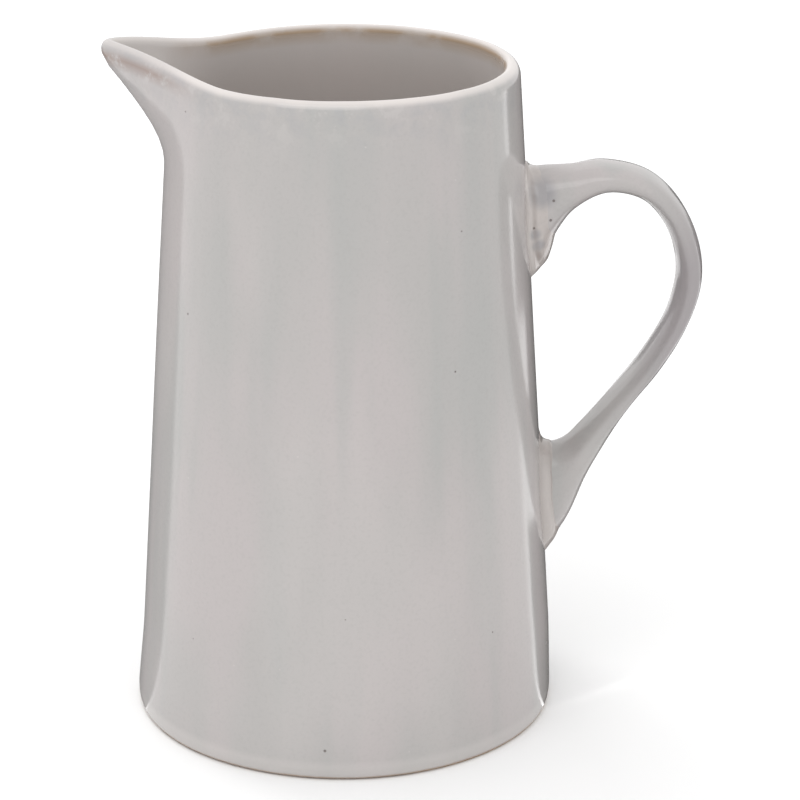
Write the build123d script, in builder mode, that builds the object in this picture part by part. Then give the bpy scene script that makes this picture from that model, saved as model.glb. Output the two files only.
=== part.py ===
"""Glazed stoneware pitcher with a pulled spout and a strap handle, built up from clay pieces.

The frame is the pitcher's own: origin on the body's axis in the plane it stands on, +Z up, +X towards the handle,
and the spout points along -X. All sizes are in millimetres.
"""

from build123d import *

import os
from math import cos, radians, sin, sqrt

os.makedirs("parts", exist_ok=True)

# Body
RIM_HEIGHT = 220.0  # level part of the rim above the table
BASE_RADIUS = 70.7  # outer radius of the tapered wall, carried down to the table
RIM_RADIUS = 56.1  # outer radius at the rim
WALL = 5.0
SKIRT_HEIGHT = 0.5  # the wall's glazed lower edge stays this far off the table
SKIRT_ROUND = 2.0
LIP_ROUND = 1.5

# Floor and foot
FLOOR_UNDERSIDE = 4.0
FLOOR_THICKNESS = 7.0
SEAT_REBATE = 0.5  # how far the floor's seat is cut back into the wall
FOOT_WIDTH = 7.0
FOOT_LEDGE = 3.0  # how far the foot reaches out under the wall
FLOOR_COIL = 8.0  # leg of the clay coil pressed into the corner between floor and wall
COIL_CLEARANCE = 0.03  # keeps the turned coil out of the lofted wall

# Spout, pulled out of the rim along -X
SPOUT_START = 187.0  # height at which the wall starts to swing out
SPOUT_SWING = 44.0  # height over which a full swing would take place
SPOUT_REACH = 22.6  # how far a full swing would carry the nose
SPOUT_ANGLE = radians(50.0)  # half the stretch of rim that the pull draws in
SPOUT_NOSE = radians(7.0)  # rounds the nose, which would otherwise be a point
SPOUT_SHARPNESS = 4.0
SPOUT_THINNING = 1.5  # how much thinner than the wall a full pull leaves the nose
SPOUT_LIFT = 7.2  # rise of the nose above the level rim

# Handle and its joints
SLIP = 0.8  # layer of luting slip between two pieces of clay
UPPER_SPREAD = 3.5  # how far the upper root's collar reaches out over the wall
LOWER_SPREAD = 2.5
COLLAR_FEATHER = 0.4  # thickness that the collar's edge still has where it meets the handle
HANDLE_MIDDLE = 120.0  # a height between the two roots
# Stations along the handle's centre line, from the upper root to the lower one: x, z, heading in degrees from +X,
# half the strap's width, and half its thickness.
UPPER_ROOT = [
    (51.9, 163.6, 8, 12.2, 20.8),
    (59.6, 167.5, 11, 12.0, 17.2),
    (67.2, 174.5, 10, 11.6, 10.5),
    (74.5, 178.9, 6, 11.2, 6.4),
]
STRAP = [
    (84.6, 181.7, 1, 11.0, 4.7),
    (96.8, 178.9, -29, 11.0, 4.2),
    (106.0, 170.2, -56, 10.8, 4.1),
    (111.2, 158.5, -76, 10.6, 4.2),
    (112.3, 146.1, -95, 10.5, 4.2),
    (108.5, 132.3, -115, 10.3, 3.7),
    (100.7, 118.5, -123, 10.2, 3.6),
    (91.1, 105.7, -127, 10.2, 3.7),
    (82.2, 93.4, -130, 10.5, 4.8),
]
LOWER_ROOT = [
    (76.4, 84.4, -153, 10.9, 7.3),
    (70.1, 75.4, -169, 11.3, 14.3),
    (61.4, 69.8, -172, 11.6, 20.8),
]

# Where the wall's outline is stated: angles from the spout's centre line, closest together at the nose, and heights
# from just below the spout to above the rim.
OUTLINE_DEGREES = [0, 5, 10, 15, 21, 28, 36, 45, 56, 70, 87, 106, 125, 144, 162, 180]
SECTION_STEP = 6.0
SECTION_HEIGHTS = [SPOUT_START + SECTION_STEP * i for i in range(-1, 8)]
CUT_SIZE = 150.0  # half-width of cutting tools, larger than any piece


def wall_radius(height):
    """Outer radius of the tapered wall, without the spout."""
    return BASE_RADIUS + (RIM_RADIUS - BASE_RADIUS) * height / RIM_HEIGHT


def spout_share(angle):
    """Share of the pull that a point at this angle from the spout's centre line takes."""
    shrink = (sqrt(angle**2 + SPOUT_NOSE**2) - SPOUT_NOSE) / SPOUT_ANGLE
    return max(0.0, 1.0 - shrink) ** SPOUT_SHARPNESS


def spout_swing(height):
    """Share of the full swing that the nose has taken at this height."""
    climb = min(1.0, max(0.0, (height - SPOUT_START) / SPOUT_SWING))
    return 3 * climb**2 - 2 * climb**3


def outline_point(height, angle):
    """A point of the wall's outer outline. The angle is measured from -X, where the spout is."""
    radius = wall_radius(height)
    pull = SPOUT_REACH * spout_swing(height) * spout_share(angle)
    return Vector(-radius * cos(angle) - pull, -radius * sin(angle))


def outline(height, wall):
    """The wall's outline at one height, moved inwards by the wall's thickness at right angles to itself."""
    step = radians(0.05)
    points = []
    for degrees in [-d for d in reversed(OUTLINE_DEGREES[1:-1])] + OUTLINE_DEGREES:
        angle = radians(degrees)
        along = outline_point(height, angle + step) - outline_point(height, angle - step)
        inwards = Vector(-along.Y, along.X).normalized()
        thinning = SPOUT_THINNING * spout_share(angle) * spout_swing(height) if wall else 0.0
        points.append(outline_point(height, angle) + inwards * (wall - thinning))
    return points


def outline_loft(first_height, wall):
    """A solid that follows the wall's outline from the first height to above the rim."""
    with BuildPart() as solid:
        for height in [first_height, SECTION_HEIGHTS[0]]:
            with BuildSketch(Plane.XY.offset(height)):
                with BuildLine():
                    Spline(*outline(height, wall), periodic=True)
                make_face()
        loft(ruled=True)
        for height in SECTION_HEIGHTS:
            with BuildSketch(Plane.XY.offset(height)):
                with BuildLine():
                    Spline(*outline(height, wall), periodic=True)
                make_face()
        loft()
    return solid.part


def plain_cone(extra):
    """The tapered body as one solid without its spout, grown by an extra thickness."""
    with BuildPart() as cone:
        with BuildSketch(Plane.XZ):
            with BuildLine():
                Polyline(
                    (0, 0),
                    (BASE_RADIUS + extra, 0),
                    (RIM_RADIUS + extra, RIM_HEIGHT),
                    (0, RIM_HEIGHT),
                    close=True,
                )
            make_face()
        revolve(axis=Axis.Z)
    return cone.part


def ring(inner, outer, bottom, top):
    """A flat ring about the body's axis."""
    with BuildPart() as solid:
        with BuildSketch(Plane.XY.offset(bottom)):
            Circle(outer)
            Circle(inner, mode=Mode.SUBTRACT)
        extrude(amount=top - bottom)
    return solid.part


def oval_loft(stations):
    """A loft through oval sections at the stations. Each section's x axis lies along the strap's width."""
    with BuildPart() as solid:
        for x, z, heading, half_width, half_thickness in stations:
            along = Vector(cos(radians(heading)), 0, sin(radians(heading)))
            with BuildSketch(Plane(origin=(x, 0, z), x_dir=(0, 1, 0), z_dir=along)):
                with BuildLine():
                    for start in (0, 180):
                        EllipticalCenterArc((0, 0), half_width, half_thickness, start_angle=start, arc_size=180)
                make_face()
        loft()
    return solid.part


def grown(station, extra):
    """A station with its section grown all round by an extra thickness."""
    x, z, heading, half_width, half_thickness = station
    return (x, z, heading, half_width + extra, half_thickness + extra)


floor_top = FLOOR_UNDERSIDE + FLOOR_THICKNESS
seat_radius = wall_radius(floor_top) - WALL + SEAT_REBATE

# ---- Wall: tapered, open at the top, with the spout pulled out of its rim ----
outer_form = outline_loft(SKIRT_HEIGHT, 0)
with BuildPart() as body_wall:
    add(outer_form)
    fillet(body_wall.edges().group_by(Axis.Z)[0], SKIRT_ROUND)
    add(outline_loft(floor_top, WALL), mode=Mode.SUBTRACT)
    with BuildSketch(Plane.XY.offset(SKIRT_HEIGHT)):
        Circle(seat_radius)
    extrude(amount=floor_top - SKIRT_HEIGHT, mode=Mode.SUBTRACT)
    # The rim is level round the back and climbs towards the nose.
    with BuildSketch(Plane.XZ):
        with BuildLine():
            level = Line((CUT_SIZE, RIM_HEIGHT), (-30, RIM_HEIGHT))
            climb = Spline(
                level @ 1,
                (-52, RIM_HEIGHT + 0.33 * SPOUT_LIFT),
                (-64, RIM_HEIGHT + 0.75 * SPOUT_LIFT),
                (-90, RIM_HEIGHT + SPOUT_LIFT),
                tangents=[(-1, 0), (-1, 0)],
            )
            Polyline(climb @ 1, (-90, 2 * RIM_HEIGHT), (CUT_SIZE, 2 * RIM_HEIGHT), level @ 0)
        make_face()
    extrude(amount=CUT_SIZE, both=True, mode=Mode.SUBTRACT)
    lip_edges = body_wall.edges().filter_by(lambda e: e.center().Z > RIM_HEIGHT - 1 and e.length > 2 * WALL)
    fillet(lip_edges, LIP_ROUND)
body_wall.part.label = "body_wall"

# ---- Floor: a disc slipped into the bottom of the wall ----
with BuildPart() as floor_disc:
    with BuildSketch(Plane.XY.offset(FLOOR_UNDERSIDE)):
        Circle(seat_radius - SLIP)
    extrude(amount=FLOOR_THICKNESS)
floor_disc.part.label = "floor_disc"

with BuildPart() as floor_slip_seam:
    add(ring(seat_radius - SLIP, seat_radius, FLOOR_UNDERSIDE, floor_top))
floor_slip_seam.part.label = "floor_slip_seam"

# ---- Coil of clay pressed into the inner corner between floor and wall ----
with BuildPart() as floor_joint_coil:
    with BuildSketch(Plane.XZ):
        with BuildLine():
            corner = (wall_radius(floor_top) - WALL - COIL_CLEARANCE, floor_top)
            up_wall = (wall_radius(floor_top + FLOOR_COIL) - WALL - COIL_CLEARANCE, floor_top + FLOOR_COIL)
            along_floor = (corner[0] - FLOOR_COIL, floor_top)
            hollow = 0.3 * FLOOR_COIL
            Polyline(along_floor, corner, up_wall)
            ThreePointArc(up_wall, (corner[0] - hollow, floor_top + hollow), along_floor)
        make_face()
    revolve(axis=Axis.Z)
floor_joint_coil.part.label = "floor_joint_coil"

# ---- Foot: a ring of bare clay under the floor, with a ledge under the wall's lower edge ----
with BuildPart() as foot_ring:
    add(ring(seat_radius - FOOT_WIDTH, seat_radius, 0, FLOOR_UNDERSIDE))
    add(ring(seat_radius - FOOT_WIDTH, seat_radius + FOOT_LEDGE, 0, SKIRT_HEIGHT))
foot_ring.part.label = "foot_ring"

# ---- Handle: a pulled strap that flares into both of its roots ----
with BuildPart() as handle_blank:
    add(oval_loft(UPPER_ROOT + STRAP[:1]))
    add(oval_loft(STRAP))
    add(oval_loft(STRAP[-1:] + LOWER_ROOT))
slipped_cone = plain_cone(SLIP)
with BuildPart() as handle_strap:
    add(handle_blank.part)
    add(slipped_cone, mode=Mode.SUBTRACT)
handle_strap.part.label = "handle_strap"

# ---- Slip: the thin layer that bonds each root to the wall ----
with BuildPart() as upper_slip_seam:
    add(handle_blank.part)
    add(slipped_cone, mode=Mode.INTERSECT)
    add(outer_form, mode=Mode.SUBTRACT)
    split(bisect_by=Plane.XY.offset(HANDLE_MIDDLE), keep=Keep.TOP)
upper_slip_seam.part.label = "upper_slip_seam"

with BuildPart() as lower_slip_seam:
    add(handle_blank.part)
    add(slipped_cone, mode=Mode.INTERSECT)
    add(outer_form, mode=Mode.SUBTRACT)
    split(bisect_by=Plane.XY.offset(HANDLE_MIDDLE), keep=Keep.BOTTOM)
lower_slip_seam.part.label = "lower_slip_seam"


def root_collar(stations):
    """A clay coil smoothed from the wall up onto a root, between grown stations of the handle."""
    with BuildPart() as collar:
        add(oval_loft(stations))
        add(handle_blank.part, mode=Mode.SUBTRACT)
        add(outer_form, mode=Mode.SUBTRACT)
    return collar.part


# ---- Collars round the two roots ----
with BuildPart() as upper_root_collar:
    spread_root = [grown(station, UPPER_SPREAD) for station in UPPER_ROOT[:2]]
    add(root_collar([*spread_root, grown(UPPER_ROOT[2], COLLAR_FEATHER)]))
upper_root_collar.part.label = "upper_root_collar"

with BuildPart() as lower_root_collar:
    add(root_collar([grown(LOWER_ROOT[2], LOWER_SPREAD), grown(LOWER_ROOT[1], COLLAR_FEATHER)]))
lower_root_collar.part.label = "lower_root_collar"

PIECES = [
    body_wall,
    floor_disc,
    floor_slip_seam,
    floor_joint_coil,
    foot_ring,
    handle_strap,
    upper_slip_seam,
    lower_slip_seam,
    upper_root_collar,
    lower_root_collar,
]
for piece in PIECES:
    export_step(piece.part, f"parts/{piece.part.label}.step")
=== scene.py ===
"""Glazed stoneware pitcher: its looks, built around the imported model.

The frame is the model's own: origin under the body's axis, +Z up, +X towards the handle, and the spout points along
-X. Sizes are in metres unless a comment says millimetres.
"""

from functools import lru_cache
from math import atan2, cos, hypot, pi, radians, sin, sqrt

import bpy
from mathutils import Matrix, Vector, noise


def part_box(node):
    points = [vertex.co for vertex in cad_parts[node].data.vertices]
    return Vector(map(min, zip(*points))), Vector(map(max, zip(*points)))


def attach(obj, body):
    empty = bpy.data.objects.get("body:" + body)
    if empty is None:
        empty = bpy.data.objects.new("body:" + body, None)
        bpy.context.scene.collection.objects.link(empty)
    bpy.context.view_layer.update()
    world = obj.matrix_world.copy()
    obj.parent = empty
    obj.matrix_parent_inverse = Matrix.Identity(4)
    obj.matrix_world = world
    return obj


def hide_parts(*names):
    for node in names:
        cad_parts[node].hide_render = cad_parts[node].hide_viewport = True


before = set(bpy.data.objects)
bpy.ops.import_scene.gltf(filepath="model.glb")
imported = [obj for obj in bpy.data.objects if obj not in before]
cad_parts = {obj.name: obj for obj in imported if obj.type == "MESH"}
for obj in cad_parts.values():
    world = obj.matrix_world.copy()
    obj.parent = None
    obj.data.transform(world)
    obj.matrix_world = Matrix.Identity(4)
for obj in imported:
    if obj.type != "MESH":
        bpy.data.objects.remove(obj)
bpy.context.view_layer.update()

MM = 0.001

# Body
RIM_HEIGHT = 220 * MM
BASE_RADIUS = 70.7 * MM
RIM_RADIUS = 56.1 * MM
WALL = 5 * MM
SKIRT_HEIGHT = 0.5 * MM
FLOOR_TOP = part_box("floor_disc")[1].z
SEAT_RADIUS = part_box("floor_slip_seam")[1].x
COIL_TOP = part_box("floor_joint_coil")[1].z
WALL_SIDES, FLOOR_SIDES, COIL_SIDES, FOOT_SIDES = 256, 128, 160, 192

# Spout: how it is pulled out of the wall, and its rolled lip
SPOUT_START = 187 * MM  # height at which it leaves the plain wall
SPOUT_SWING = 44 * MM  # height over which it swings out
SPOUT_REACH = 22.6 * MM
SPOUT_ANGLE = radians(50)  # to either side of its centre line
SPOUT_NOSE = radians(8)  # roundness of the nose
SPOUT_SHARPNESS = 4
SPOUT_ROLL = 1.1 * MM  # how far its rolled lip stands out at the nose
SPOUT_ROLL_HEIGHT, SPOUT_ROLL_BAND = 220.5 * MM, 9 * MM  # middle and half the height of the rolled lip
SPOUT_LIFT = 7.0 * MM  # how far its nose rises over the rim
LIFT_START, LIFT_RUN = 36 * MM, 42 * MM  # distance from the axis at which the rim starts to rise, and its run
LIFT_LOW, LIFT_BAND = 185 * MM, 35 * MM  # height at which the wall starts to rise with it, and its run

# Rim and lower edge of the wall
LIP_OUT, LIP_IN = 2.9 * MM, 2.1 * MM  # depth of the lip's outer and inner rounding
LIP_DROP, LIP_FALL = 4.2 * MM, 2.6 * MM  # height of the lip's outer and inner rounding
RIM_SAG = 0.12 * MM  # least sag of the rim
RIM_WAVER = 0.3 * MM  # how much more it sags in places
SAG_START, SAG_RUN = 150 * MM, 70 * MM  # height at which the wall starts to sag with the rim, and its run
SKIRT_DEEP, SKIRT_HIGH = 1.3 * MM, 6 * MM  # rounding of the glazed lower edge
SKIRT_FLAT = (1.65 * MM, 2.6 * MM)  # depths between which its underside is flat
WALL_SINK = 0.14  # mean depth, in millimetres, of the wall's dents, and how much it varies
DENT_SIZE = Vector((45 * MM, 45 * MM, 80 * MM))
BASE_SHIFT = 0.8 * MM  # how far the hand-made wall's lower edge has drifted towards the spout
BASE_SHIFT_HEIGHT = 30 * MM

# Handle: x, z, heading in degrees from +X, half the width, half the thickness, and how pointed the underside is, with
# lengths in millimetres
HANDLE_STATIONS = [
    (51.9, 163.6, 8, 12.2, 20.8, 0.5),
    (59.6, 167.5, 11, 12.0, 17.2, 0.4),
    (67.2, 174.5, 10, 11.6, 10.5, 0.15),
    (74.5, 178.9, 6, 11.2, 6.4, 0),
    (84.6, 181.8, 1, 11.0, 4.7, 0),
    (96.8, 179.0, -29, 11.0, 4.2, 0),
    (106.0, 170.2, -56, 10.8, 4.1, 0),
    (111.2, 158.5, -76, 10.6, 4.2, 0),
    (112.3, 146.1, -95, 10.5, 4.2, 0),
    (108.5, 132.3, -115, 10.3, 3.7, 0),
    (100.7, 118.5, -123, 10.2, 3.5, 0),
    (91.1, 105.7, -127, 10.2, 3.6, 0),
    (82.2, 93.4, -130, 10.5, 4.8, 0),
    (76.4, 84.4, -153, 10.9, 7.3, 0),
    (70.1, 75.4, -169, 11.3, 14.3, 0),
    (61.4, 69.8, -172, 11.6, 20.8, 0),
]

HANDLE_END = len(HANDLE_STATIONS) - 1  # place of the lower end; the upper end is at 0
UPPER_ROOT = (0, 3)  # places along the handle, one inside the wall and one outside it
LOWER_ROOT = (HANDLE_END, HANDLE_END - 2)
HANDLE_SIDES, HANDLE_RINGS = 64, 150
HANDLE_CORNER = 0.88  # below 1, its section is squarer than an oval
HANDLE_SWELL, HANDLE_RIPPLE = 0.22, 0.12  # in millimetres, how far its skin wanders slowly and quickly
HANDLE_SLIMMING = 0.1 * MM  # keeps the swells inside the strap's true size
DARKENING_START, DARKENING_END = 4.6, 12.6  # places between which it is darker
DARKENING_FADE_IN, DARKENING_FADE_OUT = 3, 4

# Collars and slip round the roots
COLLAR_SEGMENTS, COLLAR_RINGS = 160, 64
COLLAR_MARGIN = 0.3 * MM  # from the handle's skin to the line that a collar starts from
WALL_TUCK, HANDLE_TUCK = 0.3 * MM, 0.25 * MM  # how deep a collar's edges sink into the wall and the handle
COLLAR_BACK = 1.8 * MM  # how deep its hidden back goes
GROOVE_WIDTH, RIDGE_PLACE = 0.14, 0.13  # as shares of the way from the wall to the handle
SLIP_SEGMENTS = 96
SLIP_MARGIN = 0.5 * MM  # from the slip's edge to the handle's skin
SLIP_DEPTH, SLIP_THICKNESS = 0.3, 0.9  # in millimetres, from the wall's face

# Floor and foot
FLOOR_RINGS = 40
FLOOR_DISH = 0.9 * MM
SPIRAL_DEPTH, SPIRAL_PITCH = 0.16 * MM, 1.3 * MM
COIL_EDGE = 0.3 * MM  # thickness of the coil's feathered edges
COIL_WAVER, COIL_WAVE = 0.25 * MM, 12 * MM  # depth and spacing of the finger marks in its hollow
FIT_GAP = 0.02 * MM
FOOT_WIDTH = 7 * MM
FOOT_WORN = 0.5 * MM

# Pinholes in the glaze on the front of the upper root and low on the wall: place and radius in millimetres
PITS = [
    (66.8, -11.0, 176.6, 0.6),
    (66.0, -11.3, 170.0, 0.6),
    (60.6, -12.5, 167.9, 0.5),
    (-7.0, -69.6, 10.5, 0.6),
    (67.3, -15.0, 23.0, 0.6),
]

# Painted shade on the front of the upper root, in a few darker bluish patches: place and radius in millimetres
SHADE_PATCHES = [
    (63.2, -11.0, 178.7, 6.5),
    (62.9, -9.0, 187.0, 2.6),
    (61.0, -12.5, 165.6, 2.8),
    (62.4, -12.5, 161.5, 3.2),
]

# Camera and studio
CAMERA_PLACE = (0, -0.9112, 0.4363)
CAMERA_PITCH, CAMERA_LEAN, CAMERA_TURN = radians(19.988), radians(0.2022), radians(-1.1346)
CAMERA_LENS, CAMERA_SENSOR = 131.5, 36
FLOOR_SIZE, FLOOR_GREY = 12, 0.93
WORLD_STRENGTH = 1.0
CARD_PIVOT = (0.055, -0.028)  # point near the pitcher's right side from which the cards fan out, mirrored on the left

# ---- Small helpers -------------------------------------------------------------------------------------------


def smoothstep(value):
    value = min(1.0, max(0.0, value))
    return value * value * (3 - 2 * value)


def hump(value, middle, half_width):
    """1 at the middle, falling smoothly to 0 at the half-width to either side."""
    return smoothstep(1 - abs(value - middle) / half_width)


def deselect_all():
    if bpy.context.object and bpy.context.object.mode != "OBJECT":
        bpy.ops.object.mode_set(mode="OBJECT")
    bpy.ops.object.select_all(action="DESELECT")


def named(name):
    piece = bpy.context.object
    piece.name = piece.data.name = name
    return piece


def apply_place(piece):
    """Leaves the piece's object at the origin, unturned and unscaled, with its place in its mesh."""
    deselect_all()
    piece.select_set(True)
    bpy.context.view_layer.objects.active = piece
    bpy.ops.object.transform_apply(location=True, rotation=True, scale=True)


def close_and_smooth(piece, sharp_degrees=50):
    """Merges doubles, turns all faces outwards and shades them smooth."""
    apply_place(piece)
    bpy.ops.object.mode_set(mode="EDIT")
    bpy.ops.mesh.select_all(action="SELECT")
    bpy.ops.mesh.remove_doubles(threshold=1e-6)
    bpy.ops.mesh.normals_make_consistent(inside=False)
    bpy.ops.object.mode_set(mode="OBJECT")
    bpy.ops.object.shade_smooth_by_angle(angle=radians(sharp_degrees))


def mark(piece, name, values):
    """Stores one number per vertex on a piece, for its material to read."""
    attribute = piece.data.attributes.new(name, "FLOAT", "POINT")
    attribute.data.foreach_set("value", values)


def turned(name, profile, sides):
    """A ring-shaped solid: a circle extruded from one (radius, height) of the closed profile to the next."""
    deselect_all()
    radius, height = profile[0]
    bpy.ops.mesh.primitive_circle_add(vertices=sides, radius=radius, location=(0, 0, height))
    piece = named(name)
    bpy.ops.object.mode_set(mode="EDIT")
    bpy.ops.mesh.select_all(action="SELECT")
    for next_radius, next_height in profile[1:] + profile[:1]:
        bpy.ops.mesh.extrude_edges_move(TRANSFORM_OT_translate={"value": (0, 0, next_height - height)})
        grow = next_radius / radius
        bpy.ops.transform.resize(value=(grow, grow, 1), center_override=(0, 0, next_height))
        radius, height = next_radius, next_height
    bpy.ops.object.mode_set(mode="OBJECT")
    apply_place(piece)
    return piece


def steps(start, end, count):
    """Evenly spaced values after start, up to and including end."""
    return [start + (end - start) * i / count for i in range(1, count + 1)]


def uneven(x, y, z=0.0):
    """Smooth noise between about -1 and 1."""
    return noise.noise(Vector((x, y, z)))


# ---- Shape of the wall and its spout --------------------------------------------------------------------------


def wall_radius(height):
    return BASE_RADIUS + (RIM_RADIUS - BASE_RADIUS) * height / RIM_HEIGHT


def spout_share(angle):
    """Share of the pull that a point at this angle from the spout's centre line takes."""
    shrink = (sqrt(angle**2 + SPOUT_NOSE**2) - SPOUT_NOSE) / SPOUT_ANGLE
    return max(0.0, 1 - shrink) ** SPOUT_SHARPNESS


def spout_swing(height):
    """Share of its full swing that the nose has taken at this height."""
    return smoothstep((height - SPOUT_START) / SPOUT_SWING)


def outline_point(height, angle):
    roll = SPOUT_ROLL * hump(height, SPOUT_ROLL_HEIGHT, SPOUT_ROLL_BAND)
    pull = (SPOUT_REACH * spout_swing(height) + roll) * spout_share(angle)
    return Vector((-wall_radius(height) * cos(angle) - pull, -wall_radius(height) * sin(angle), height))


def wall_point(height, angle, inset):
    """A point of the wall with its spout, at a depth from the outer face. The angle is measured from -X.

    The wall's height is its height on the plain cone: the spout lifts it, and is wider where it is lifted to.
    """
    step = radians(0.05)
    level = height
    for _ in range(4):
        along = outline_point(level, angle + step) - outline_point(level, angle - step)
        inwards = Vector((-along.y, along.x, 0)).normalized()
        point = outline_point(level, angle) + inwards * inset
        rise = smoothstep((-point.x - LIFT_START) / LIFT_RUN) * smoothstep((height - LIFT_LOW) / LIFT_BAND)
        level = height + SPOUT_LIFT * rise
    return Vector((point.x, point.y, level))


def wall_profile():
    """The wall's section, as (depth from the outer face, height), from under its skirt up and over the lip."""
    flat_start, flat_end = SKIRT_FLAT
    section = [(wall_radius(SKIRT_HEIGHT) - SEAT_RADIUS, SKIRT_HEIGHT)]
    section += [(flat_end, SKIRT_HEIGHT), (flat_start, SKIRT_HEIGHT)]
    for turn in steps(0, pi / 2, 9):
        section.append((SKIRT_DEEP * (1 - sin(turn)), SKIRT_HEIGHT + SKIRT_HIGH * (1 - cos(turn))))
    section += [(0, z) for z in steps(SKIRT_HEIGHT + SKIRT_HIGH, RIM_HEIGHT - LIP_DROP, 60)]
    for turn in steps(0, pi / 2, 9):
        section.append((LIP_OUT * (1 - cos(turn)), RIM_HEIGHT - LIP_DROP * (1 - sin(turn))))
    for turn in steps(0, pi / 2, 8):
        section.append((LIP_OUT + LIP_IN * sin(turn), RIM_HEIGHT - LIP_FALL * (1 - cos(turn))))
    section += [(WALL, z) for z in steps(RIM_HEIGHT - LIP_FALL, FLOOR_TOP, 50)]
    section.append((wall_radius(FLOOR_TOP) - SEAT_RADIUS, FLOOR_TOP))
    return section


def wall_marks(angle, inset, drop):
    """What the glaze has to know about a point of the wall. The drop is in millimetres under the rim.

    Lip is the mottled band under the rim, roll the rounding of the lip, inner_edge the line where clay shows inside
    it, and stain the brown band under the spout's lip.
    """
    outer = 1 if inset < 0.45 * WALL else 0
    share = smoothstep(1.6 * (spout_share(angle) + 0.35 * spout_share(angle * 0.6)))
    return {
        "lip": smoothstep(1 - drop / 22),
        "roll": smoothstep(1 - (drop - 0.4) / 1.8) if outer else smoothstep(1 - drop / 1.2),
        "inside": smoothstep((inset / WALL - 0.55) / 0.3),
        "inner_edge": 0 if outer else hump(drop, 1.9, 1.8) * (1 - share),
        "spout": share,
        "stain": hump(drop, 4.6, 2.8) * share * outer,
    }


def make_wall():
    profile = [(wall_radius(z) - inset, z) for inset, z in wall_profile()]
    piece = turned("pitcher_wall", profile, sides=WALL_SIDES)
    rows = []
    for vertex in piece.data.vertices:
        x, y, z = vertex.co
        angle = atan2(-y, -x)
        inset = wall_radius(z) - hypot(x, y)
        rows.append(wall_marks(angle, inset, (RIM_HEIGHT - z) / MM))
        point = wall_point(z, angle, inset)
        sag = RIM_SAG + RIM_WAVER * abs(uneven(2 * cos(angle), 2 * sin(angle), 3))
        point.z -= sag * smoothstep((z - SAG_START) / SAG_RUN) * (1 - rows[-1]["spout"])
        dent = uneven(point.x / DENT_SIZE.x, point.y / DENT_SIZE.y, z / DENT_SIZE.z)
        sink = WALL_SINK * (1 + dent) * MM / RIM_RADIUS
        point.x *= 1 - sink
        point.y *= 1 - sink
        point.x -= BASE_SHIFT * smoothstep(1 - z / BASE_SHIFT_HEIGHT)
        vertex.co = point
    for name in rows[0]:
        mark(piece, name, [row[name] for row in rows])
    close_and_smooth(piece)
    return piece


# ---- Handle ----------------------------------------------------------------------------------------------------


def station_at(place):
    """The handle's section at a place along it, by a smooth curve through the stations. Place counts stations."""
    i = min(int(place), HANDLE_END - 1)
    t = place - i
    before, start, end, after = (HANDLE_STATIONS[min(max(k, 0), HANDLE_END)] for k in (i - 1, i, i + 1, i + 2))
    values = []
    for a, b, c, d in zip(before, start, end, after):
        values.append(
            0.5 * (2 * b + (c - a) * t + (2 * a - 5 * b + 4 * c - d) * t**2 + (3 * b - a - 3 * c + d) * t**3)
        )
    return values


def handle_point(place, turn, grow=0.0):
    """A point of the handle's skin. The turn goes round its section from +Y, by way of its outer face."""
    x, z, heading, half_width, half_thickness, pointed = station_at(place)
    outwards = Vector((-sin(radians(heading)), 0, cos(radians(heading))))
    across = abs(cos(turn)) ** HANDLE_CORNER * (1 if cos(turn) > 0 else -1)
    up = abs(sin(turn)) ** HANDLE_CORNER * (1 if sin(turn) > 0 else -1)
    width = (half_width + grow / MM) * (1 - pointed * max(0.0, -up) ** 1.5)
    return (Vector((x, across * width, z)) + outwards * (half_thickness + grow / MM) * up) * MM


def place_on_wall(turn, root, grow, depth=0.0):
    """The place along the handle where its skin, at this turn, comes out from a depth under the wall's face."""
    inner_place, outer_place = root
    for _ in range(24):
        middle = (inner_place + outer_place) / 2
        point = handle_point(middle, turn, grow)
        if hypot(point.x, point.y) < wall_radius(point.z) - depth:
            inner_place = middle
        else:
            outer_place = middle
    return middle


@lru_cache(maxsize=None)
def handle_ends(turn):
    """The places where a line along the handle's skin ends, halfway through the wall at either root."""
    return tuple(place_on_wall(turn, root, 0.0, WALL / 2) for root in (UPPER_ROOT, LOWER_ROOT))


def make_handle():
    deselect_all()
    bpy.ops.mesh.primitive_circle_add(vertices=HANDLE_SIDES, radius=1, fill_type="NGON")
    piece = named("handle")
    bpy.ops.object.mode_set(mode="EDIT")
    bpy.ops.mesh.select_all(action="SELECT")
    for _ in range(HANDLE_RINGS):
        bpy.ops.mesh.extrude_region_move(TRANSFORM_OT_translate={"value": (0, 0, 1)})
    bpy.ops.object.mode_set(mode="OBJECT")
    strap_darkenings = []
    for vertex in piece.data.vertices:
        x, y, z = vertex.co
        turn = atan2(y, x)
        start, end = handle_ends(round(turn, 5))
        place = start + (end - start) * z / HANDLE_RINGS
        strap_darkenings.append(smoothstep((place - DARKENING_START) / DARKENING_FADE_IN) * smoothstep((DARKENING_END - place) / DARKENING_FADE_OUT))
        swell = HANDLE_SWELL * uneven(place * 0.8, 2 * x, 2 * y) + HANDLE_RIPPLE * uneven(9, 3.5 * x, place * 0.3)
        vertex.co = handle_point(place, turn, swell * MM - HANDLE_SLIMMING)
    mark(piece, "strap_darkening", strap_darkenings)
    close_and_smooth(piece)
    return piece


# ---- Collars: clay smoothed from the wall up onto each root ---------------------------------------------------


def below(turn, sharpness=3):
    """1 on the handle's inner face, which is its underside at the upper root, falling to 0 at its sides."""
    return max(0.0, -sin(turn)) ** sharpness


def above(turn, sharpness=3):
    """1 on the handle's outer face, which is its top at the upper root, falling to 0 at its sides."""
    return max(0.0, sin(turn)) ** sharpness


def on_wall(point, depth):
    """The point moved straight in or out to a depth under the wall's face."""
    radius = wall_radius(point.z) - depth
    grow = radius / hypot(point.x, point.y)
    return Vector((point.x * grow, point.y * grow, point.z))


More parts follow.
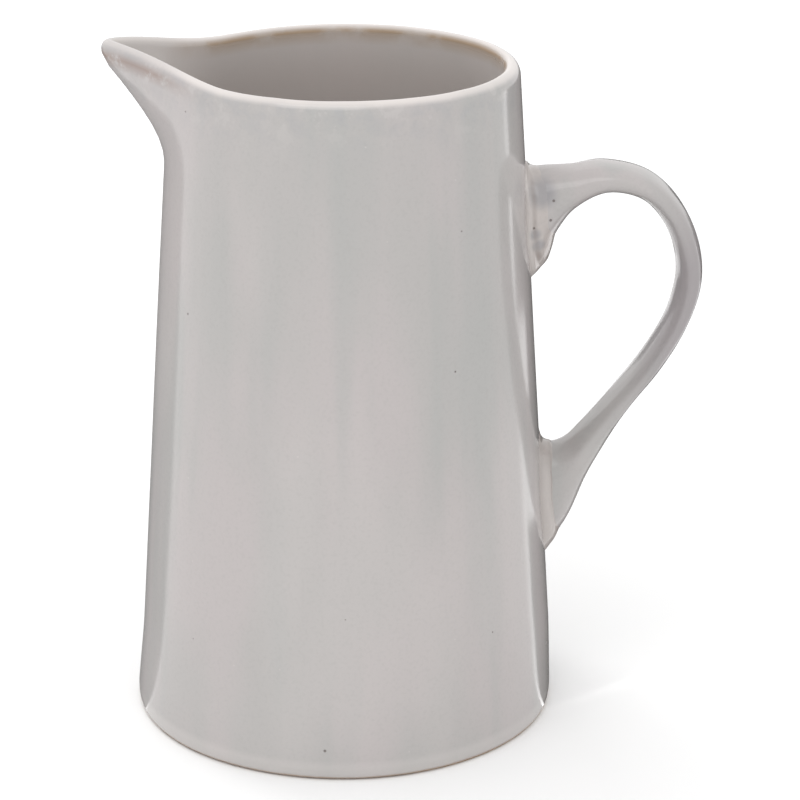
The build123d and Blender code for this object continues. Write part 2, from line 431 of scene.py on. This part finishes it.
def make_collar(name, root, climb, spread, bulge, ridge, groove_at):
    """A closed ring of clay round one root.

    Root holds a place along the handle inside the wall and one outside it. Climb is how many stations the clay
    reaches up the handle, spread how far it reaches out over the wall, and bulge how proud it stands, each as a
    function of the turn. A narrow ridge may run along the wall, and a groove runs round it at a share of the way from
    the wall to the handle.
    """
    outwards = 1 if root[1] > root[0] else -1
    deselect_all()
    bpy.ops.mesh.primitive_torus_add(
        major_segments=COLLAR_SEGMENTS, minor_segments=COLLAR_RINGS, major_radius=1, minor_radius=0.25
    )
    piece = named(name)
    crease_shades, edges = [], []
    for vertex in piece.data.vertices:
        x, y, z = vertex.co
        turn = atan2(y, x)
        around = atan2(z, hypot(x, y) - 1) % (2 * pi)
        share = (1 - cos(around)) / 2
        place = place_on_wall(turn, root, COLLAR_MARGIN)
        foot = on_wall(handle_point(place, turn, spread(turn)), WALL_TUCK)
        head_place = place + climb(turn) * outwards
        head = handle_point(head_place, turn, -HANDLE_TUCK)
        skin = handle_point(head_place, turn, 2 * MM) - head
        out = (Vector((foot.x, foot.y, 0)).normalized() + skin.normalized()).normalized()
        if around <= pi:
            side = 1 - smoothstep(2 * (abs(sin(turn)) - 0.45))
            groove = hump(share, groove_at, GROOVE_WIDTH) * (0.5 + 0.6 * uneven(2 * x, 2 * y, 5)) * (0.3 + 0.7 * side)
            profile = ridge * (1 - below(turn, 4)) * hump(share, RIDGE_PLACE, RIDGE_PLACE)
            profile += hump(share, 0.5, 0.5) ** 0.8 - 0.5 * groove
            proud = bulge(turn) * profile * (1 + 0.2 * uneven(2.2 * x, 2.2 * y, 3 * share))
            # the groove is stored for the painted shade along it
            crease_shades.append(groove)
            edges.append(ridge * hump(share, 0.08, 0.09) + 0.5 * (1 - ridge) * side * hump(share, 0.36, 0.36))
        else:
            proud = -COLLAR_BACK * sin(pi * share)
            crease_shades.append(0.0)
            edges.append(0.0)
        vertex.co = foot.lerp(head, share) + out * proud
    mark(piece, "crease_shade", crease_shades)
    mark(piece, "edge", edges)
    close_and_smooth(piece)
    return piece


def make_slip(name, root):
    """The thin layer of luting slip between the wall and one root: a closed lens that follows the wall's face."""
    deselect_all()
    bpy.ops.mesh.primitive_circle_add(vertices=SLIP_SEGMENTS, radius=1, fill_type="NGON")
    piece = named(name)
    bpy.ops.object.mode_set(mode="EDIT")
    bpy.ops.mesh.select_all(action="SELECT")
    bpy.ops.mesh.extrude_region_move(TRANSFORM_OT_translate={"value": (0, 0, 1)})
    bpy.ops.object.mode_set(mode="OBJECT")
    for vertex in piece.data.vertices:
        x, y, z = vertex.co
        turn = atan2(y, x)
        place = place_on_wall(turn, root, -SLIP_MARGIN)
        vertex.co = on_wall(handle_point(place, turn, -SLIP_MARGIN), (SLIP_DEPTH - SLIP_THICKNESS * z) * MM)
    close_and_smooth(piece)
    return piece


def make_upper_collar():
    return make_collar(
        "upper_collar",
        UPPER_ROOT,
        climb=lambda turn: 0.95 + 0.25 * below(turn) - 0.5 * above(turn),
        spread=lambda turn: (1.3 - 0.7 * below(turn, 8) + 1.9 * above(turn, 8)) * MM,
        bulge=lambda turn: (0.7 + 1.3 * below(turn, 4) - 1.7 * above(turn)) * MM,
        ridge=0.75,
        groove_at=0.34,
    )


def make_lower_collar():
    return make_collar(
        "lower_collar",
        LOWER_ROOT,
        climb=lambda turn: 0.42 + 0.12 * abs(sin(turn)),
        spread=lambda turn: (1.2 + 0.6 * above(turn, 8) + 4.5 * below(turn, 8)) * MM,
        bulge=lambda turn: (0.75 - 0.3 * above(turn) - 2.1 * below(turn, 3)) * MM,
        ridge=0.1,
        groove_at=0.84,
    )


# ---- Floor and foot ---------------------------------------------------------------------------------------------


def make_floor():
    """The vessel's floor: a disc, dished by the thrower's fingers, with a faint spiral left in it."""
    low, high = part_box("floor_disc")
    deselect_all()
    bpy.ops.mesh.primitive_cylinder_add(
        vertices=FLOOR_SIDES, radius=high.x, depth=high.z - low.z, location=(0, 0, (low.z + high.z) / 2)
    )
    piece = named("pitcher_floor")
    bpy.ops.object.mode_set(mode="EDIT")
    bpy.ops.mesh.select_all(action="DESELECT")
    bpy.ops.mesh.select_mode(type="FACE")
    bpy.ops.object.mode_set(mode="OBJECT")
    for face in piece.data.polygons:
        face.select = face.normal.z > 0.9
    bpy.ops.object.mode_set(mode="EDIT")
    for _ in range(FLOOR_RINGS):
        bpy.ops.mesh.inset(thickness=high.x / (FLOOR_RINGS + 1))
    bpy.ops.object.mode_set(mode="OBJECT")
    apply_place(piece)
    for vertex in piece.data.vertices:
        x, y, z = vertex.co
        if z > high.z - 0.1 * MM:
            radius = hypot(x, y)
            share = radius / high.x
            dish = FLOOR_DISH * (1 - share**2)
            swirl = SPIRAL_DEPTH * sin(radius / SPIRAL_PITCH + atan2(y, x)) * smoothstep(share * 6)
            vertex.co.z = z - dish - (swirl + SPIRAL_DEPTH) * (1 - share**6)
    close_and_smooth(piece)
    return piece


def make_floor_coil():
    """The coil of clay pressed into the corner between floor and wall."""
    leg = COIL_TOP - FLOOR_TOP
    corner = wall_radius(FLOOR_TOP) - WALL - FIT_GAP
    top_corner = wall_radius(COIL_TOP) - WALL - FIT_GAP
    hollow = []
    for turn in [0, *steps(0, pi / 2, 12)]:
        hollow.append((top_corner - leg * (1 - sin(turn)) - COIL_EDGE, FLOOR_TOP + leg * (1 - cos(turn))))
    profile = [(corner - 0.1 * MM, FLOOR_TOP), *hollow, (top_corner, COIL_TOP)]
    piece = turned("floor_coil", profile, sides=COIL_SIDES)
    for vertex in piece.data.vertices:
        x, y, z = vertex.co
        if hypot(x, y) < corner - 0.3 * MM and z > FLOOR_TOP + 0.1 * MM:
            sink = COIL_WAVER * (1 + uneven(x / COIL_WAVE, y / COIL_WAVE)) / 2
            vertex.co.x *= 1 + sink / corner
            vertex.co.y *= 1 + sink / corner
    close_and_smooth(piece)
    return piece


def make_foot():
    """The bare clay foot: a ring with worn edges, and a thin ledge that shows under the wall's glazed edge."""
    low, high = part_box("foot_ring")
    ledge, inner, seat = high.x, SEAT_RADIUS - FOOT_WIDTH, SEAT_RADIUS - 0.05 * MM
    profile = [(inner + FOOT_WORN, 0)]
    profile += [(inner + FOOT_WORN * (1 - sin(t)), FOOT_WORN * (1 - cos(t))) for t in steps(0, pi / 2, 4)]
    profile += [(inner, high.z), (seat, high.z), (seat, SKIRT_HEIGHT)]
    profile += [(ledge - 0.15 * MM, SKIRT_HEIGHT), (ledge, SKIRT_HEIGHT - 0.15 * MM), (ledge, 0.12 * MM)]
    profile += [(ledge - 0.2 * MM, 0), (SEAT_RADIUS - 1.5 * MM, 0)]
    piece = turned("pitcher_foot", profile, sides=FOOT_SIDES)
    close_and_smooth(piece, sharp_degrees=40)
    return piece


# ---- Finishes ---------------------------------------------------------------------------------------------------


def shade(red, green, blue):
    """A colour from the values that a screen shows, 0 to 255."""
    return (*((value / 255) ** 2.2 for value in (red, green, blue)), 1.0)


def new_material(name):
    """A new material and its shader."""
    material = bpy.data.materials.new(name)
    material.use_nodes = True
    return material, material.node_tree.nodes["Principled BSDF"]


class Wire:
    """One value in a material. Sums on it add Math nodes."""

    def __init__(self, finish, socket):
        self.finish, self.socket = finish, socket

    def maths(self, operation, *values):
        return self.finish.node("ShaderNodeMath", {"operation": operation}, dict(enumerate(values)))

    def __add__(self, other):
        return self.maths("ADD", self, other)

    def __sub__(self, other):
        return self.maths("SUBTRACT", self, other)

    def __rsub__(self, other):
        return self.maths("SUBTRACT", other, self)

    def __mul__(self, other):
        return self.maths("MULTIPLY", self, other)

    def __pow__(self, other):
        return self.maths("POWER", self, other)

    __radd__ = __add__
    __rmul__ = __mul__

    def capped(self):
        """At most 1."""
        return self.maths("MINIMUM", self, 1.0)

    def between(self, low, high):
        """0 below low and 1 above high, with a smooth step. Low may be the larger."""
        settings = {"interpolation_type": "SMOOTHSTEP"}
        if low < high:
            return self.finish.node("ShaderNodeMapRange", settings, {0: self, 1: low, 2: high, 3: 0.0, 4: 1.0})
        return self.finish.node("ShaderNodeMapRange", settings, {0: self, 1: high, 2: low, 3: 1.0, 4: 0.0})


class Finish:
    """A material that is being made."""

    def __init__(self, name):
        self.material, self.shader = new_material(name)
        self.tree = self.material.node_tree
        self.place = self.node("ShaderNodeTexCoord", output="Object")
        axes = self.node("ShaderNodeSeparateXYZ", inputs={0: self.place}).socket.node.outputs
        self.x, self.y, self.z = (Wire(self, axis) for axis in axes)

    def node(self, kind, settings=None, inputs=None, output=0):
        node = self.tree.nodes.new(kind)
        for name, value in (settings or {}).items():
            setattr(node, name, value)
        for key, value in (inputs or {}).items():
            self.put(node.inputs[key], value)
        return Wire(self, node.outputs[output])

    def put(self, socket, value):
        if isinstance(value, Wire):
            self.tree.links.new(value.socket, socket)
        else:
            socket.default_value = value

    def mix(self, factor, first, second):
        """From the first colour to the second."""
        return self.node("ShaderNodeMix", {"data_type": "RGBA"}, {0: factor, 6: first, 7: second}, output=2)

    def noise(self, size, detail=2.0, stretch=(1, 1, 1), roughness=0.5, shift=0.0):
        """Cloudy noise, about 0.5 all over, with features of this size in metres."""
        place = self.node(
            "ShaderNodeMapping", inputs={"Vector": self.place, "Scale": stretch, "Location": (shift, shift, shift)}
        )
        values = {"Vector": place, "Scale": 1 / size, "Detail": detail, "Roughness": roughness}
        return self.node("ShaderNodeTexNoise", inputs=values)

    def spots(self, size, share, radius):
        """Round spots, 1 at their middles. Size is their spacing, share how many of the places hold one."""
        values = {"Vector": self.place, "Scale": 1 / size}
        cells = self.node("ShaderNodeTexVoronoi", inputs=values)
        luck = Wire(self, cells.socket.node.outputs["Color"])
        chosen = self.node("ShaderNodeSeparateColor", inputs={0: luck}).between(1 - share, 1 - share + 0.001)
        return cells.between(radius / size, 0.4 * radius / size) * chosen

    def reach(self, x, y, z):
        """Distance in metres from a place given in millimetres, with depths from the front counted less."""
        beside, behind, higher = self.x - x * MM, (self.y - y * MM) * 0.3, self.z - z * MM
        return (beside * beside + behind * behind + higher * higher) ** 0.5

    def mark(self, name):
        """A number that a piece stores for each vertex, 0 on a piece that doesn't."""
        return self.node("ShaderNodeAttribute", {"attribute_name": name}, output="Fac")

    def done(self, colour, roughness, height, bump):
        """Joins up the shader. Bump is the height in metres that a height of 1 stands for."""
        self.put(self.shader.inputs["Base Color"], colour)
        self.put(self.shader.inputs["Roughness"], roughness)
        values = {"Height": height, "Distance": bump, "Strength": 1.0}
        self.put(self.shader.inputs["Normal"], self.node("ShaderNodeBump", inputs=values))
        return self.material


def make_glaze(name, base, warm, cool):
    """Glossy warm grey glaze: cloudy, in soft upright bands, thin and pale on edges, with pinholes, and with painted
    light and shade in places.

    Warm and cool are the colours that its base colour drifts to in clouds and in bands.
    """
    glaze = Finish(name)
    clouds = glaze.noise(0.035, stretch=(1, 1, 0.45))
    bands = glaze.noise(0.016, stretch=(1, 1, 0.07), shift=3)
    runs = glaze.noise(0.05, detail=4, stretch=(1, 1, 0.3), shift=7)
    grain = glaze.noise(0.0011, detail=3)
    blots = glaze.noise(0.006, detail=4, roughness=0.6, shift=1)

    colour = glaze.mix(clouds.between(0.35, 0.65), base, warm)
    colour = glaze.mix(0.7 * bands.between(0.45, 0.7), colour, cool)
    colour = glaze.mix(0.4 * runs.between(0.5, 0.7), colour, shade(188, 183, 181))
    colour = glaze.mix(0.1 * grain.between(0.45, 0.75), colour, shade(140, 137, 136))

    # Below the rim the glaze breaks into small pale and bluish blots.
    lip = glaze.mark("lip")
    outside = 1 - glaze.mark("inside")
    colour = glaze.mix(lip * outside * blots.between(0.46, 0.62) * 0.25, colour, shade(156, 157, 161))
    colour = glaze.mix(lip * outside * blots.between(0.44, 0.36) * 0.3, colour, shade(192, 188, 186))

    # Inside, the glaze is painted lighter all over as painted light, then darker and browner deeper down as painted
    # shade.
    colour = glaze.mix(0.7 * (1 - outside), colour, shade(200, 193, 189))
    depth = glaze.z.between(0.217, 0.200) * (1 - outside)
    colour = glaze.mix(depth * 0.3, colour, shade(176, 165, 159))

    # It is darker along the lower half of the handle.
    colour = glaze.mix(glaze.mark("strap_darkening") * (0.35 + 0.7 * clouds), colour, shade(144, 139, 141))

    # Painted shade: darker bluish patches round the upper root.
    for x, y, z, radius in SHADE_PATCHES:
        shade_patch = glaze.reach(x, y, z).between(radius * MM, 0.3 * radius * MM)
        colour = glaze.mix(shade_patch * (0.4 + 0.6 * clouds), colour, shade(143, 142, 145))

    # The rolled lip is painted pale, partly glaze running thin and partly a painted highlight along its crest, held
    # back on the spout; the glaze shows the clay along the inner edge and under the spout's lip.
    roll = glaze.mark("roll") * (0.6 + 0.7 * clouds) * (1 - 0.5 * glaze.mark("spout"))
    colour = glaze.mix(roll * 0.85, colour, shade(222, 215, 211))
    worn = glaze.mark("inner_edge") * (0.4 + 0.6 * glaze.noise(0.012, detail=4, shift=2).between(0.35, 0.55))
    colour = glaze.mix(worn * 0.85, colour, shade(160, 134, 104))
    stain = glaze.mark("stain") * blots.between(0.34, 0.5)
    colour = glaze.mix(stain * 0.8, colour, shade(146, 127, 118))

    # Above the foot, the lower rounding is painted pale as a painted reflection of the floor, with a brown line under
    # it.
    skirt = glaze.z.between(0.0075, 0.0045) * outside
    colour = glaze.mix(skirt * 0.4, colour, shade(196, 192, 189))
    bare = (glaze.z + 0.0006 * glaze.noise(0.004)).between(0.0019, 0.0009) * outside
    colour = glaze.mix(bare * 0.8, colour, shade(144, 118, 94))

    # Painted shade darkening the collars' grooves, then pinholes and specks.
    colour = glaze.mix(glaze.mark("crease_shade") * 0.7, colour, shade(118, 106, 100))
    colour = glaze.mix(glaze.mark("edge") * 0.6, colour, shade(216, 211, 207))
    holes = glaze.spots(0.012, 0.16, 0.00045)
    for x, y, z, radius in PITS:
        holes = holes + glaze.reach(x, y, z).between(radius * MM, 0.5 * radius * MM)
    holes = holes.capped()
    specks = glaze.spots(0.007, 0.22, 0.0004)
    colour = glaze.mix(holes * 0.75, colour, shade(84, 74, 68))
    colour = glaze.mix(specks * 0.3, colour, shade(206, 201, 198))

    roughness = 0.09 + 0.1 * clouds + 0.25 * worn + 0.3 * bare + 0.2 * holes
    height = clouds * 0.5 + 0.04 * grain + 0.1 * blots * lip - 0.35 * holes + 0.3 * bands
    return glaze.done(colour, roughness, height, 0.35 * MM)


def make_clay():
    """Bare buff stoneware: grainy, speckled with iron, rubbed paler where it stands."""
    clay = Finish("bare_clay")
    grain = clay.noise(0.0009, detail=5, roughness=0.7)
    patches = clay.noise(0.012, detail=3)
    iron = clay.spots(0.0022, 0.3, 0.0003)
    colour = clay.mix(patches.between(0.35, 0.65), shade(158, 132, 104), shade(176, 152, 124))
    colour = clay.mix(0.4 * grain.between(0.4, 0.7), colour, shade(120, 96, 74))
    colour = clay.mix(0.5 * clay.z.between(0.0006, 0.0), colour, shade(190, 170, 146))
    colour = clay.mix(iron * 0.7, colour, shade(70, 48, 36))
    return clay.done(colour, 0.72 + 0.2 * grain, grain + 0.5 * patches, 0.15 * MM)


# ---- Studio ----------------------------------------------------------------------------------------------------


def plain_material(name, colour, roughness):
    material, shader = new_material(name)
    shader.inputs["Base Color"].default_value = (*colour, 1)
    shader.inputs["Roughness"].default_value = roughness
    return material


def make_area_light(name, place, aim, size, energy, glints=True):
    """A rectangular light. Without glints, reflections don't show it."""
    light = bpy.data.lights.new(name, "AREA")
    light.shape = "RECTANGLE"
    light.size, light.size_y = size
    light.energy = energy
    holder = bpy.data.objects.new(name, light)
    holder.location = place
    holder.rotation_euler = (Vector(aim) - Vector(place)).to_track_quat("-Z", "Y").to_euler()
    holder.visible_glossy = glints
    bpy.context.collection.objects.link(holder)


def make_card(name, side, front, back, glow, near=0.005, far=3.0, height=2 * MM):
    """A card lying just over the floor beside and behind the pitcher, which only reflections in its glaze show.

    It fans out between two directions, in degrees from the side towards the back, and between two distances. Side is
    1 on the right and -1 on the left.
    """
    pivot_x, pivot_y = CARD_PIVOT
    corners = []
    for distance in (near, far):
        for direction in (radians(front), radians(back)):
            corners.append((pivot_x + distance * cos(direction), pivot_y + distance * sin(direction)))
    deselect_all()
    bpy.ops.mesh.primitive_plane_add(size=1)
    card = named(name)
    for vertex, (x, y) in zip(card.data.vertices, corners):
        vertex.co = (side * x, y, height)
    material, shader = new_material(name)
    shader.inputs["Base Color"].default_value = (0, 0, 0, 1)
    shader.inputs["Emission Color"].default_value = (1, 1, 1, 1)
    shader.inputs["Emission Strength"].default_value = glow
    shader.inputs["Specular IOR Level"].default_value = 0
    card.data.materials.append(material)
    card.visible_camera = card.visible_diffuse = card.visible_shadow = card.visible_transmission = False


def make_studio():
    deselect_all()
    bpy.ops.mesh.primitive_plane_add(size=FLOOR_SIZE)
    floor = named("studio_floor")
    floor.data.materials.append(plain_material("studio_floor", (FLOOR_GREY,) * 3, 0.9))
    world = bpy.data.worlds.new("studio")
    world.use_nodes = True
    world.node_tree.nodes["Background"].inputs["Color"].default_value = (1, 1, 1, 1)
    world.node_tree.nodes["Background"].inputs["Strength"].default_value = WORLD_STRENGTH
    bpy.context.scene.world = world
    make_area_light("overhead", (-0.3, -0.9, 1.5), (0, 0, 0.15), (1.4, 1.0), 6)
    make_area_light("back_left", (-0.8, 0.9, 0.9), (0, 0, 0.2), (0.5, 0.4), 4, glints=False)
    make_area_light("back", (-0.5, 1.5, 0.55), (0, 0, 0.22), (0.5, 0.16), 3, glints=False)
    make_card("left_flag", -1, 31, 86, 0.2)
    make_card("left_glint", -1, 28.5, 31, 1.5)
    make_card("right_flag", 1, 38.5, 86, 0.03)
    make_card("right_glint", 1, 33.5, 38.5, 2.1)
    make_card("right_fill", 1, 38.5, 52, 1.7, near=0.2, far=0.5, height=3 * MM)


def make_camera():
    camera = bpy.data.cameras.new("camera")
    camera.lens = CAMERA_LENS
    camera.sensor_width = CAMERA_SENSOR
    holder = bpy.data.objects.new("camera", camera)
    holder.location = CAMERA_PLACE
    aim = Matrix.Rotation(CAMERA_TURN, 4, "Z") @ Matrix.Rotation(pi / 2 - CAMERA_PITCH, 4, "X")
    aim = aim @ Matrix.Rotation(CAMERA_LEAN, 4, "Z")
    holder.rotation_euler = aim.to_euler()
    bpy.context.collection.objects.link(holder)
    bpy.context.scene.camera = holder


bpy.context.scene.view_settings.view_transform = "Standard"
make_camera()
make_studio()
glaze = make_glaze("glaze", shade(174, 171, 169), shade(180, 174, 173), shade(167, 167, 165))
collar_glaze = make_glaze("collar_glaze", shade(180, 173, 169), shade(184, 176, 172), shade(172, 166, 163))
clay = make_clay()

pieces = [
    (make_wall(), glaze, "glaze", ["body_wall"]),
    (make_floor(), glaze, "glaze", ["floor_disc"]),
    (make_floor_coil(), glaze, "glaze", ["floor_joint_coil"]),
    (make_foot(), clay, "bare_clay", ["foot_ring"]),
    (make_handle(), glaze, "glaze", ["handle_strap"]),
    (make_upper_collar(), collar_glaze, "glaze", ["upper_root_collar"]),
    (make_lower_collar(), collar_glaze, "glaze", ["lower_root_collar"]),
    (make_slip("upper_slip", UPPER_ROOT), clay, "bare_clay", ["upper_slip_seam"]),
    (make_slip("lower_slip", LOWER_ROOT), clay, "bare_clay", ["lower_slip_seam"]),
]
for piece, material, slot, nodes in pieces:
    piece.data.materials.append(material)
    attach(piece, "root")
    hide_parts(*nodes)
for name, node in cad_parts.items():
    node.data.materials.clear()
    node.data.materials.append(clay if "slip" in name or name == "foot_ring" else glaze)
